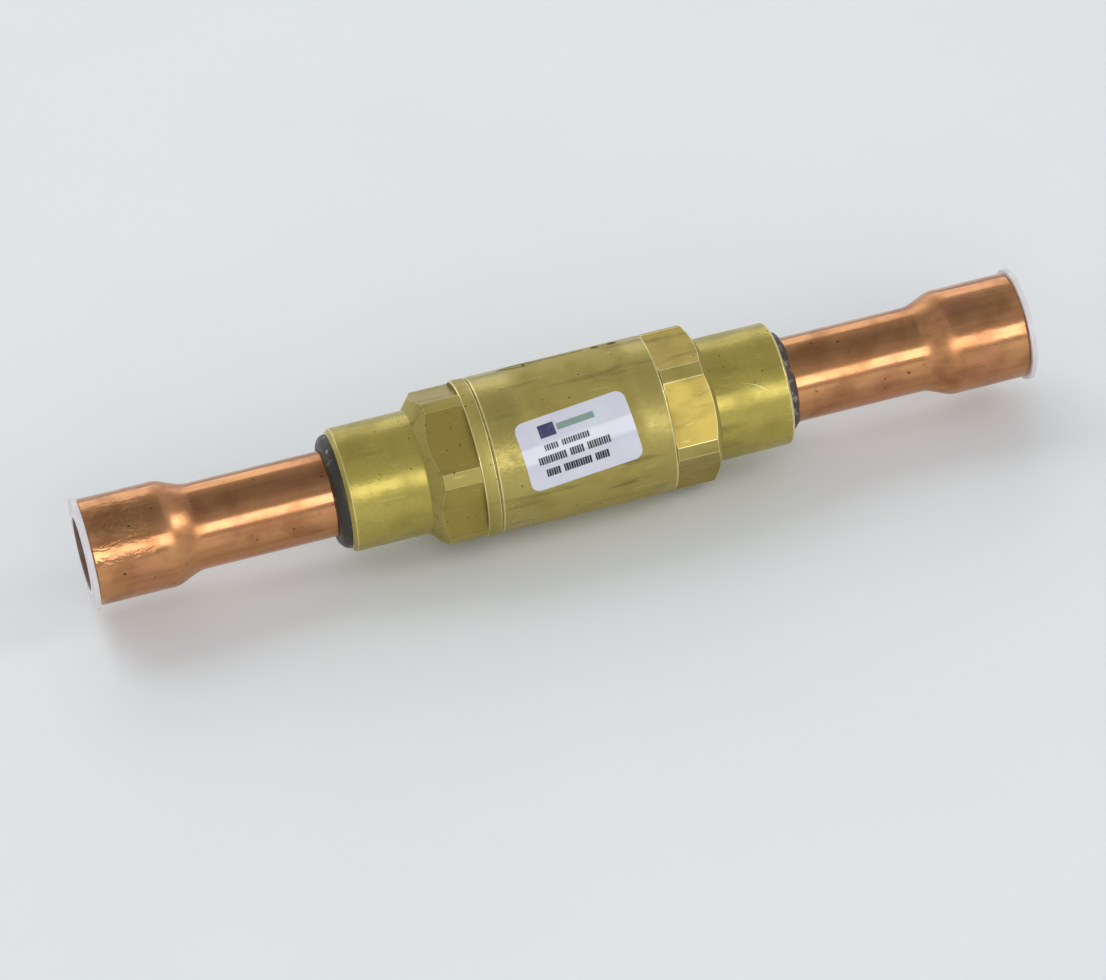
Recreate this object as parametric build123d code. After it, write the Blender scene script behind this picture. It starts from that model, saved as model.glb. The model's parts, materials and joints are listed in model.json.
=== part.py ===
"""Straight-through spring check valve with brazed copper solder sockets.

Units are millimetres. The flow axis is X, with the inlet at +X and the outlet at -X.
The label faces -Y and +Z is up. The origin is on the flow axis, midway between the ends.
Angles round the axis start at -Y (the front) and grow towards +Z (the top).
"""

from build123d import *
import math
import os

os.makedirs("parts", exist_ok=True)

# ---------------------------------------------------------------- driving sizes
# copper tubes: refrigeration tube with one end swelled into a solder socket
overall_length = 132.8          # socket mouth to socket mouth
tube_outer_r = 6.0
tube_wall = 1.0
socket_bore_r = 6.4
socket_depth = 10.2             # straight bore that takes the pipe end
swage_length = 4.8
mouth_chamfer = 0.25
tube_seat_depth = 8.0           # how far each tube enters the brass

# brass outside
barrel_length = 25.1            # seam to the start of the inlet wrench flats
seam_x = -10.9                  # where the connector's ring meets the barrel
flat_depth = 1.0                # how deep the wrench flats are milled into the round
inlet_wrench_length = 7.0
outlet_wrench_length = 7.1
outlet_ring_length = 2.1        # full round ring between the flats and the seam
inlet_crown_angle = 27.5        # slope of the crowned hexagon end, from its face
outlet_crown_angle = 38.0
crown_bow = 0.03                # how far the crowned end bows past a straight slope
inlet_flat_angle = 30.0         # centre of one wrench flat, round the axis
outlet_flat_angle = 52.8
shank_wall = 2.6                # brass around each tube
inlet_shank_length = 10.5
outlet_shank_length = 11.2
shank_chamfer_in = 0.3
shank_chamfer_out = 0.55
seam_chamfer = 0.2

# screwed joint between the two brass halves
thread_wall = 1.45              # barrel wall outside the thread
thread_clearance = 0.05
spigot_wall = 1.9               # spigot wall between the thread and the guide pocket
spigot_length = 7.5
spigot_end_gap = 0.4
seal_cord_r = 0.75
seal_squeeze_clearance = 0.02
seal_neck_depth = 0.95          # neck behind the thread, where the seal lies

# inside the body
inlet_bore_r = 4.8
seat_lip_width = 0.8
seat_lip_height = 0.8
seat_x = 10.0                   # face of the seat lip
seat_overlap = 0.55             # sealing disc past the outside of the lip
chamber_step = 1.15             # from the chamber wall out to the thread bore
flow_gap = 1.6                  # between the piston head and the chamber wall

# moving piston
lift = 3.0                      # opening travel
seat_clearance = 0.02
stop_clearance = 0.05
running_clearance = 0.05
head_rim_width = 0.6
head_rim_height = 0.8
head_thickness = 3.0
stem_r = 1.5
stem_past_hub = 0.8
gasket_thickness = 1.55
gasket_clearance = 0.05
washer_gap = 1.0                # between the washer and the seat bore
washer_thickness = 0.6
screw_r = 1.25
screw_hole_clearance = 0.05
screw_head_r = 2.2
screw_head_height = 1.3
screw_grip = 2.3
screw_slot_width = 0.6
screw_slot_depth = 0.6

# guide that carries the stem and backs the spring
guide_clearance = 0.05
guide_thickness = 1.6
guide_shelf_width = 0.65
hub_wall = 0.9
hub_behind = 1.5
flow_hole_land = 0.2            # metal left between the spring and the flow holes
flow_hole_count = 6
ring_thickness = 0.6
ring_groove_depth = 0.5
ring_groove_clearance = 0.05
ring_width = 1.25
ring_gap_angle = 60.0
spigot_lip = 0.5
outlet_bore_r = 5.0
outlet_cone_length = 3.5

# spring
spring_wire_r = 0.25
spring_hub_gap = 0.35
spring_turns = 6.5
spring_end_clearance = 0.03

# braze alloy
braze_gap = 0.05
inlet_braze_width = 1.3
inlet_braze_length = 1.3
outlet_braze_width = 2.0
outlet_braze_length = 1.5

# transport plugs
plug_flange_proud = 0.5         # flange past the outside of the socket
plug_flange_thickness = 0.8
plug_depth = 5.2
plug_lead = 0.8
plug_wall = 1.35
plug_floor = 1.0
plug_stand_off = 0.1

# label and engraved marks
label_length = 16.0
label_height = 10.0
label_corner_r = 1.3
label_tilt = 5.5
label_x = 1.0
label_angle = 28.6
label_thickness = 0.08
label_glue = 0.01
mark_angle = 113.0
mark_depth = 0.15
mark_stroke = 0.3
arrow_tip_x = -6.3
arrow_head_length = 3.6
arrow_head_half_width = 1.0
arrow_tail_x = 5.6
dot_r = 0.65
dot_xs = (7.6, 10.0)

# ---------------------------------------------------------------- derived places
# radii, from the seat outwards to the barrel
gasket_r = inlet_bore_r + seat_lip_width + seat_overlap
head_r = gasket_r + gasket_clearance + head_rim_width
cavity_r = head_r + flow_gap
thread_bore_r = cavity_r + chamber_step
thread_r = thread_bore_r - thread_clearance
barrel_r = thread_bore_r + thread_wall
seal_neck_r = thread_r - seal_neck_depth
guide_pocket_r = thread_r - spigot_wall
guide_r = guide_pocket_r - guide_clearance
outlet_cone_r = guide_pocket_r - guide_shelf_width
flat_apothem = barrel_r - flat_depth

# radii, from the stem outwards to the flow holes
hub_bore_r = stem_r + running_clearance
hub_r = hub_bore_r + hub_wall
spring_mean_r = hub_r + spring_hub_gap + spring_wire_r
flow_hole_inner_r = spring_mean_r + spring_wire_r + flow_hole_land
flow_hole_r = (outlet_cone_r - flow_hole_inner_r) / 2
flow_hole_pitch_r = flow_hole_inner_r + flow_hole_r
washer_r = inlet_bore_r - washer_gap

# tubes and plugs
tube_bore_r = tube_outer_r - tube_wall
socket_outer_r = socket_bore_r + tube_wall
mouth_x = overall_length / 2
swage_far_x = mouth_x - socket_depth
swage_near_x = swage_far_x - swage_length
pocket_r = tube_outer_r + braze_gap
shank_r = pocket_r + shank_wall
plug_shank_r = socket_bore_r - running_clearance
plug_flange_r = socket_outer_r + plug_flange_proud

# places along the flow axis
barrel_end_x = seam_x + barrel_length
inlet_collar_end_x = barrel_end_x + inlet_wrench_length
inlet_shank_end_x = inlet_collar_end_x + inlet_shank_length
inlet_stop_x = inlet_shank_end_x - tube_seat_depth
outlet_flat_start_x = seam_x - outlet_ring_length
outlet_collar_end_x = outlet_flat_start_x - outlet_wrench_length
outlet_shank_end_x = outlet_collar_end_x - outlet_shank_length
outlet_stop_x = outlet_shank_end_x + tube_seat_depth

spigot_end_x = seam_x + spigot_length
gland_width = 2 * (seal_cord_r + seal_squeeze_clearance)
gland_end_x = seam_x + gland_width
gland_outer_r = seal_neck_r + gland_width
cavity_start_x = spigot_end_x + spigot_end_gap
cavity_floor_x = seat_x + seat_lip_height

ring_x = spigot_end_x - spigot_lip - ring_thickness - ring_groove_clearance
guide_front_x = ring_x - ring_groove_clearance
guide_back_x = guide_front_x - guide_thickness
ring_groove_r = guide_pocket_r + ring_groove_depth
outlet_cone_end_x = guide_back_x - outlet_cone_length

gasket_face_x = seat_x - seat_clearance
gasket_back_x = gasket_face_x - gasket_thickness
head_back_x = gasket_back_x - head_thickness
hub_stop_x = head_back_x - lift - stop_clearance
hub_back_x = guide_back_x - hub_behind
stem_end_x = hub_back_x - stem_past_hub
washer_face_x = gasket_face_x + washer_thickness
screw_hole_r = screw_r + screw_hole_clearance


# ---------------------------------------------------------------- helpers
def turned(outline):
    """Spin a closed outline of (x, radius) points about the flow axis."""
    return revolve(make_face(Polyline(*outline, close=True)), Axis.X)


def turned_with_crown(outline, crown_start):
    """Spin a closed outline whose run from one of its points bows slightly outwards."""
    edges = []
    for number, start in enumerate(outline):
        end = outline[(number + 1) % len(outline)]
        if start == crown_start:
            run = Vector(end[0] - start[0], end[1] - start[1]).normalized()
            away = Vector(-run.Y, run.X)
            if away.Y < 0:
                away = -away
            middle = ((Vector(*start) + Vector(*end)) / 2) + away * crown_bow
            edges.append(Spline(start, (middle.X, middle.Y), end))
        else:
            edges.append(Line(start, end))
    return revolve(make_face(edges), Axis.X)


def ring_between(x0, x1, inner_r, outer_r):
    """A plain washer of revolution about the flow axis."""
    return turned([(x0, inner_r), (x1, inner_r), (x1, outer_r), (x0, outer_r)])


def rod_between(x0, x1, radius):
    """A solid round bar on the flow axis."""
    return turned([(x0, 0), (x1, 0), (x1, radius), (x0, radius)])


def outward(angle):
    """Unit vector square to the flow axis, at an angle from the front towards the top."""
    turn = math.radians(angle)
    return Vector(0, -math.cos(turn), math.sin(turn))


def crown_run(angle):
    """Axial length of the crowned collar end, from the barrel radius to the shank."""
    return (barrel_r - shank_r) * math.tan(math.radians(angle))


def wrench_cut(x0, x1, flat_angle):
    """Everything outside a hexagonal bar, over a stretch of the flow axis."""
    low, high = min(x0, x1), max(x0, x1)
    across = RegularPolygon(flat_apothem, 6, major_radius=False, rotation=150 - flat_angle)
    plane = Plane(origin=(low, 0, 0), x_dir=(0, 1, 0), z_dir=(1, 0, 0))
    bar = extrude(plane * across, high - low)
    return rod_between(low, high, barrel_r + 2) - bar


def tangent_plane(angle, radius, x):
    """A plane square to the outward direction, with its x axis along the flow axis."""
    away = outward(angle)
    return Plane(origin=Vector(x, 0, 0) + away * radius, x_dir=(1, 0, 0), z_dir=away)


def save(name, shape):
    """Write one named piece."""
    shape.label = name
    export_step(shape, f"parts/{name}.step")


# ---------------------------------------------------------------- brass body
def engraved_marks():
    """Flow arrow and two plain dots, as cutters that reach just below the barrel surface."""
    plane = tangent_plane(mark_angle, barrel_r - mark_depth, 0)
    base_x = arrow_tip_x + arrow_head_length
    outer = Polyline(
        (arrow_tip_x, 0),
        (base_x, arrow_head_half_width),
        (base_x, -arrow_head_half_width),
        close=True,
    )
    inner_tip_x = arrow_tip_x + 3.2 * mark_stroke
    inner_half = arrow_head_half_width - 1.7 * mark_stroke
    inner = Polyline(
        (inner_tip_x, 0),
        (base_x - mark_stroke, inner_half),
        (base_x - mark_stroke, -inner_half),
        close=True,
    )
    head = make_face(outer) - make_face(inner)
    shaft_length = arrow_tail_x - base_x
    shaft = Pos(base_x + shaft_length / 2, 0) * Rectangle(shaft_length, mark_stroke)
    cutters = [extrude(plane * head, 1), extrude(plane * shaft, 1)]
    for x in dot_xs:
        cutters.append(extrude(plane * (Pos(x, 0) * Circle(dot_r)), 1))
    return cutters


def valve_body():
    """Inlet half: barrel, wrench collar and shank, with the seat and the piston chamber."""
    crown_x = inlet_collar_end_x - crown_run(inlet_crown_angle)
    outline = [
        (seam_x, gland_outer_r),
        (seam_x, barrel_r - seam_chamfer),
        (seam_x + seam_chamfer, barrel_r),
        (crown_x, barrel_r),
        (inlet_collar_end_x, shank_r),
        (inlet_shank_end_x - shank_chamfer_in, shank_r),
        (inlet_shank_end_x, shank_r - shank_chamfer_in),
        (inlet_shank_end_x, pocket_r),
        (inlet_stop_x, pocket_r),
        (inlet_stop_x, inlet_bore_r),
        (seat_x, inlet_bore_r),
        (seat_x, inlet_bore_r + seat_lip_width),
        (cavity_floor_x, inlet_bore_r + seat_lip_width),
        (cavity_floor_x, cavity_r),
        (cavity_start_x, cavity_r),
        (cavity_start_x, thread_bore_r),
        (gland_end_x, thread_bore_r),
        (gland_end_x, gland_outer_r),
    ]
    body = turned_with_crown(outline, (crown_x, barrel_r))
    body -= wrench_cut(barrel_end_x, inlet_collar_end_x, inlet_flat_angle)
    for cutter in engraved_marks():
        body -= cutter
    return body


def outlet_connector():
    """Outlet half: shank, wrench collar and ring, with the spigot that screws into the body."""
    crown_x = outlet_collar_end_x + crown_run(outlet_crown_angle)
    outline = [
        (outlet_shank_end_x, pocket_r),
        (outlet_shank_end_x, shank_r - shank_chamfer_out),
        (outlet_shank_end_x + shank_chamfer_out, shank_r),
        (outlet_collar_end_x, shank_r),
        (crown_x, barrel_r),
        (seam_x - seam_chamfer, barrel_r),
        (seam_x, barrel_r - seam_chamfer),
        (seam_x, seal_neck_r),
        (gland_end_x, seal_neck_r),
        (gland_end_x, thread_r),
        (spigot_end_x, thread_r),
        (spigot_end_x, guide_pocket_r),
        (ring_x + ring_thickness + ring_groove_clearance, guide_pocket_r),
        (ring_x + ring_thickness + ring_groove_clearance, ring_groove_r),
        (ring_x - ring_groove_clearance, ring_groove_r),
        (ring_x - ring_groove_clearance, guide_pocket_r),
        (guide_back_x, guide_pocket_r),
        (guide_back_x, outlet_cone_r),
        (outlet_cone_end_x, outlet_bore_r),
        (outlet_stop_x, outlet_bore_r),
        (outlet_stop_x, pocket_r),
    ]
    connector = turned_with_crown(outline, (outlet_collar_end_x, shank_r))
    return connector - wrench_cut(outlet_flat_start_x, outlet_collar_end_x, outlet_flat_angle)


def body_seal():
    """Elastic sealing ring in the gland behind the seam."""
    centre_r = seal_neck_r + gland_width / 2
    section = Pos(seam_x + gland_width / 2, centre_r) * Circle(seal_cord_r)
    return revolve(section, Axis.X)


# ---------------------------------------------------------------- copper and braze
def swage(from_r, to_r):
    """Two tangent arcs that carry a tube wall from one radius to the next."""
    middle = ((swage_near_x + swage_far_x) / 2, (from_r + to_r) / 2)
    first = TangentArc((swage_near_x, from_r), middle, tangent=(1, 0))
    second = TangentArc((swage_far_x, to_r), middle, tangent=(-1, 0))
    return first, second


def inlet_side_tube(stop_x):
    """A copper tube on the +X side, from its stop in the brass to its socket mouth."""
    outer_arcs = swage(tube_outer_r, socket_outer_r)
    inner_arcs = swage(tube_bore_r, socket_bore_r)
    edge_x = mouth_x - mouth_chamfer
    lines = [
        Line((stop_x, tube_bore_r), (stop_x, tube_outer_r)),
        Line((stop_x, tube_outer_r), (swage_near_x, tube_outer_r)),
        *outer_arcs,
        Line((swage_far_x, socket_outer_r), (mouth_x, socket_outer_r)),
        Line((mouth_x, socket_outer_r), (mouth_x, socket_bore_r + mouth_chamfer)),
        Line((mouth_x, socket_bore_r + mouth_chamfer), (edge_x, socket_bore_r)),
        Line((edge_x, socket_bore_r), (swage_far_x, socket_bore_r)),
        *inner_arcs,
        Line((swage_near_x, tube_bore_r), (stop_x, tube_bore_r)),
    ]
    return revolve(make_face(lines), Axis.X)


def braze(face_x, width, run):
    """A ring of braze alloy between a shank's end face and the tube, bulging outwards."""
    bulge = 0.62
    reach_r = tube_outer_r + width
    middle = (face_x + run * bulge, tube_outer_r + width * bulge)
    lines = [
        Line((face_x, tube_outer_r), (face_x, reach_r)),
        ThreePointArc((face_x, reach_r), middle, (face_x + run, tube_outer_r)),
        Line((face_x + run, tube_outer_r), (face_x, tube_outer_r)),
    ]
    return revolve(make_face(lines), Axis.X)


def to_outlet(shape):
    """Mirror a piece from the inlet side to the outlet side."""
    return mirror(shape, Plane.YZ)


# ---------------------------------------------------------------- inner parts
def piston():
    """Head with a gasket recess, and the stem that runs in the guide."""
    rim_x = gasket_back_x + head_rim_height
    recess_r = head_r - head_rim_width
    tap_x = gasket_back_x - screw_grip - screw_hole_clearance
    return turned([
        (stem_end_x, 0),
        (stem_end_x, stem_r - 0.3),
        (stem_end_x + 0.3, stem_r),
        (head_back_x, stem_r),
        (head_back_x, head_r - 0.4),
        (head_back_x + 0.4, head_r),
        (rim_x, head_r),
        (rim_x, recess_r),
        (gasket_back_x, recess_r),
        (gasket_back_x, screw_hole_r),
        (tap_x, screw_hole_r),
        (tap_x, 0),
    ])


def seat_gasket():
    """Soft sealing disc carried in the piston head."""
    return ring_between(gasket_back_x, gasket_face_x, screw_hole_r, gasket_r)


def gasket_washer():
    """Washer that clamps the sealing disc."""
    return ring_between(gasket_face_x, washer_face_x, screw_hole_r, washer_r)


def gasket_screw():
    """Slotted screw that holds the washer to the piston."""
    head_x = washer_face_x + screw_head_height
    screw = turned([
        (gasket_back_x - screw_grip, 0),
        (gasket_back_x - screw_grip, screw_r),
        (washer_face_x, screw_r),
        (washer_face_x, screw_head_r),
        (head_x - 0.3, screw_head_r),
        (head_x, screw_head_r - 0.3),
        (head_x, 0),
    ])
    slot = Box(2 * screw_slot_depth, 3 * screw_head_r, screw_slot_width)
    return screw - Pos(head_x, 0, 0) * slot


def piston_guide():
    """Disc with a long hub for the stem and a circle of flow holes."""
    guide = turned([
        (hub_back_x, hub_bore_r),
        (hub_stop_x, hub_bore_r),
        (hub_stop_x, hub_r),
        (guide_front_x, hub_r),
        (guide_front_x, guide_r),
        (guide_back_x, guide_r),
        (guide_back_x, hub_r),
        (hub_back_x, hub_r),
    ])
    for step in range(flow_hole_count):
        angle = 360 * step / flow_hole_count
        centre = outward(angle) * flow_hole_pitch_r
        middle = (guide_back_x + guide_front_x) / 2
        hole = Rot(0, 90, 0) * Cylinder(flow_hole_r, 2 * guide_thickness)
        guide -= Pos(middle, centre.Y, centre.Z) * hole
    return guide


def retaining_ring():
    """Open spring clip that keeps the guide in the spigot."""
    outer_r = ring_groove_r - ring_groove_clearance
    ring = ring_between(ring_x, ring_x + ring_thickness, outer_r - ring_width, outer_r)
    half_gap = outer_r * math.tan(math.radians(ring_gap_angle / 2))
    wedge = Polyline((0, 0), (outer_r * 1.5, half_gap * 1.5), (outer_r * 1.5, -half_gap * 1.5), close=True)
    plane = Plane(origin=(ring_x - 1, 0, 0), x_dir=(0, 1, 0), z_dir=(1, 0, 0))
    return ring - extrude(plane * make_face(wedge), ring_thickness + 2)


def return_spring():
    """Compression spring between the guide and the back of the piston head."""
    start_x = guide_front_x + spring_wire_r + spring_end_clearance
    end_x = head_back_x - spring_wire_r - spring_end_clearance
    length = end_x - start_x
    coil = Helix(length / spring_turns, length, spring_mean_r)
    wire = sweep((coil ^ 0) * Circle(spring_wire_r), path=coil, is_frenet=True)
    return Pos(start_x, 0, 0) * Rot(0, 90, 0) * wire


# ---------------------------------------------------------------- plugs and label
def inlet_side_plug():
    """Push-in plastic plug with a flange and an open cup, on the +X side."""
    under_x = mouth_x + plug_stand_off
    face_x = under_x + plug_flange_thickness
    end_x = mouth_x - plug_depth
    cup_r = plug_shank_r - plug_wall
    return turned([
        (end_x, 0),
        (end_x, plug_shank_r - plug_lead / 2),
        (end_x + plug_lead, plug_shank_r),
        (under_x, plug_shank_r),
        (under_x, plug_flange_r),
        (face_x - 0.3, plug_flange_r),
        (face_x, plug_flange_r - 0.3),
        (face_x, cup_r + 0.3),
        (face_x - 0.3, cup_r),
        (end_x + plug_floor, cup_r - 0.2),
        (end_x + plug_floor, 0),
    ])


def product_label():
    """Thin rounded label wrapped on the barrel, tilted as it was stuck."""
    inner_r = barrel_r + label_glue
    outer_r = inner_r + label_thickness
    wrap = ring_between(label_x - label_length, label_x + label_length, inner_r, outer_r)
    flat_height = 2 * barrel_r * math.sin(label_height / (2 * barrel_r))
    outline = RectangleRounded(label_length, flat_height, label_corner_r)
    plane = tangent_plane(label_angle, barrel_r / 2, label_x)
    window = extrude(plane * (Rot(0, 0, label_tilt) * outline), barrel_r)
    return wrap & window


# ---------------------------------------------------------------- write every piece
save("valve_body", valve_body())
save("outlet_connector", outlet_connector())
save("body_seal", body_seal())
save("inlet_tube", inlet_side_tube(inlet_stop_x))
save("outlet_tube", to_outlet(inlet_side_tube(-outlet_stop_x)))
save("inlet_braze", braze(inlet_shank_end_x, inlet_braze_width, inlet_braze_length))
save("outlet_braze", to_outlet(braze(-outlet_shank_end_x, outlet_braze_width, outlet_braze_length)))
save("piston", piston())
save("seat_gasket", seat_gasket())
save("gasket_washer", gasket_washer())
save("gasket_screw", gasket_screw())
save("piston_guide", piston_guide())
save("retaining_ring", retaining_ring())
save("return_spring", return_spring())
save("inlet_plug", inlet_side_plug())
save("outlet_plug", to_outlet(inlet_side_plug()))
save("product_label", product_label())
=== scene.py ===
"""Looks for a straight-through spring check valve with brazed copper solder sockets.

The flow axis is X, with the inlet at +X and the outlet at -X. The label faces -Y and +Z is up.
Sizes in the dataclasses are millimetres; meshes are written in metres.
"""

import json
import logging
import math
from dataclasses import dataclass, field
from enum import Enum, IntEnum
from typing import Callable, Iterable, Sequence

import bmesh
import bpy
from mathutils import Matrix, Vector, noise

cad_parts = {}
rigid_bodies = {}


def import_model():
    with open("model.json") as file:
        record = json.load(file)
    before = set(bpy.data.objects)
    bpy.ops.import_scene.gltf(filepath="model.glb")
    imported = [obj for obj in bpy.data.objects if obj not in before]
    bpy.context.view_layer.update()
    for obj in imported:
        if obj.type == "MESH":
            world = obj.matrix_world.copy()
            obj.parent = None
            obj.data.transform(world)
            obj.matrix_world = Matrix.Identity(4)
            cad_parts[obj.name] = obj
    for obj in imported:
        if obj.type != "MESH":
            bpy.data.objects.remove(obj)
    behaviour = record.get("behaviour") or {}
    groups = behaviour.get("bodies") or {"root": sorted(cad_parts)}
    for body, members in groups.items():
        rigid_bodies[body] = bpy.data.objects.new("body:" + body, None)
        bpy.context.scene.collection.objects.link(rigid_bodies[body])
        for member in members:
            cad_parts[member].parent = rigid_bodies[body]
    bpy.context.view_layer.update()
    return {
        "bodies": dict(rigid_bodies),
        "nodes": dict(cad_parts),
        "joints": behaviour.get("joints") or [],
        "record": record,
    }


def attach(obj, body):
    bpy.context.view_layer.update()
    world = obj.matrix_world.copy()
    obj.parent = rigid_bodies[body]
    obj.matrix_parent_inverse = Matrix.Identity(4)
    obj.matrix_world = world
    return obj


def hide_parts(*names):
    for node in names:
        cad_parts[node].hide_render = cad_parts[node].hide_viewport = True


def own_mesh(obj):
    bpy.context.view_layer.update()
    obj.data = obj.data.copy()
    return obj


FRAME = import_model()
MM = 0.001
LOG = logging.getLogger("check_valve")
Tree = bpy.types.NodeTree
Node = bpy.types.Node
Socket = bpy.types.NodeSocket
Piece = bpy.types.Object
BMesh = bmesh.types.BMesh
Outline = Sequence[tuple[float, float]]


# ------------------------------------------------------------------------------ colour and nodes
def linear(code: str) -> tuple[float, float, float, float]:
    """Turn an sRGB hex colour into linear light.

    Args:
        code: Six hex digits, with or without a leading hash.

    Returns:
        Linear red, green and blue, with an alpha of 1.
    """
    digits = code.lstrip("#")
    values = [int(digits[i:i + 2], 16) / 255 for i in (0, 2, 4)]
    channels = [c / 12.92 if c <= 0.04045 else ((c + 0.055) / 1.055) ** 2.4 for c in values]
    return (channels[0], channels[1], channels[2], 1.0)


def add(tree: Tree, kind: str, inputs: dict | None = None, **settings: object) -> Node:
    """Add one shader node with its settings, values and links.

    Args:
        tree: The node tree that takes the node.
        kind: The node's type name.
        inputs: Socket name or number to a value, or to an output socket to link from.
        settings: Attributes of the node itself.

    Returns:
        The new node.
    """
    new = tree.nodes.new(kind)
    for name, value in settings.items():
        setattr(new, name, value)
    for key, value in (inputs or {}).items():
        if isinstance(value, Socket):
            tree.links.new(value, new.inputs[key])
        else:
            new.inputs[key].default_value = value
    return new


class Finish:
    """Base of every finish: a named material whose nodes are built on first use."""

    name: str = "finish"

    def build(self, tree: Tree) -> Node:
        """Add this finish's nodes and return its shader node."""
        raise NotImplementedError

    def material(self) -> bpy.types.Material:
        """Return the finish's material, made the first time it is asked for."""
        found = bpy.data.materials.get(self.name)
        if found is not None:
            return found
        made = bpy.data.materials.new(self.name)
        made.use_nodes = True
        tree = made.node_tree
        tree.nodes.clear()
        shader = self.build(tree)
        add(tree, "ShaderNodeOutputMaterial", {"Surface": shader.outputs[0]})
        return made


def millimetres(tree: Tree, scale: tuple[float, float, float] = (1, 1, 1)) -> Socket:
    """Object coordinates in millimetres, stretched per axis.

    Args:
        tree: The node tree.
        scale: Multiplier on each axis; a small one draws the pattern out along that axis.

    Returns:
        The coordinate socket.
    """
    place = add(tree, "ShaderNodeTexCoord")
    stretch = tuple(s / MM for s in scale)
    return add(tree, "ShaderNodeMapping", {"Vector": place.outputs["Object"], "Scale": stretch}).outputs[0]


def blotches(tree: Tree, at: Socket, size: float, low: float, high: float,
             detail: float = 3.0) -> Socket:
    """A soft mask of blotches of a real size.

    Args:
        tree: The node tree.
        at: Coordinates in millimetres.
        size: Size of one blotch in millimetres.
        low: Noise level where the mask starts.
        high: Noise level where the mask is full.
        detail: Octaves of finer noise.

    Returns:
        A socket from 0 to 1.
    """
    cloud = add(tree, "ShaderNodeTexNoise", {"Vector": at, "Scale": 1 / size, "Detail": detail})
    return add(tree, "ShaderNodeMapRange", {"Value": cloud.outputs["Fac"], "From Min": low, "From Max": high},
               interpolation_type="SMOOTHSTEP").outputs[0]


def tint(tree: Tree, amount: Socket | float, base: Socket | tuple,
         over: Socket | tuple) -> Socket:
    """Mix one colour over another and return the colour socket."""
    mixed = add(tree, "ShaderNodeMix", {0: amount, 6: base, 7: over}, data_type="RGBA")
    return mixed.outputs[2]


def scaled(tree: Tree, value: Socket, by: float, plus: float = 0.0) -> Socket:
    """Multiply a value and add an offset, and return the socket."""
    return add(tree, "ShaderNodeMath", {0: value, 1: by, 2: plus}, operation="MULTIPLY_ADD").outputs[0]


def around(tree: Tree, along: Socket, middle: float, inner: float, outer: float, amount: float) -> Socket:
    """A value that holds round one place along a bar and fades to nothing away from it.

    Args:
        tree: The node tree.
        along: Place along the bar, in millimetres.
        middle: Middle of the stretch.
        inner: Distance from the middle up to which the value is full.
        outer: Distance from the middle where it has faded to nothing.
        amount: The full value.

    Returns:
        The value socket.
    """
    away = add(tree, "ShaderNodeMath", {0: scaled(tree, along, 1.0, -middle)}, operation="ABSOLUTE").outputs[0]
    return add(tree, "ShaderNodeMapRange", {"Value": away, "From Min": inner, "From Max": outer, "To Min": amount,
                                            "To Max": 0.0}, interpolation_type="SMOOTHSTEP").outputs[0]


def relief(tree: Tree, height: Socket, depth: float, strength: float,
           under: Socket | None = None) -> Socket:
    """Bump from a height pattern.

    Args:
        tree: The node tree.
        height: The pattern, 0 to 1.
        depth: Real depth of the pattern in millimetres.
        strength: How strongly the bump shows.
        under: A bump that this one lies on.

    Returns:
        The normal socket.
    """
    inputs: dict = {"Height": height, "Distance": depth * MM, "Strength": strength}
    if under is not None:
        inputs["Normal"] = under
    return add(tree, "ShaderNodeBump", inputs).outputs[0]


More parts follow.
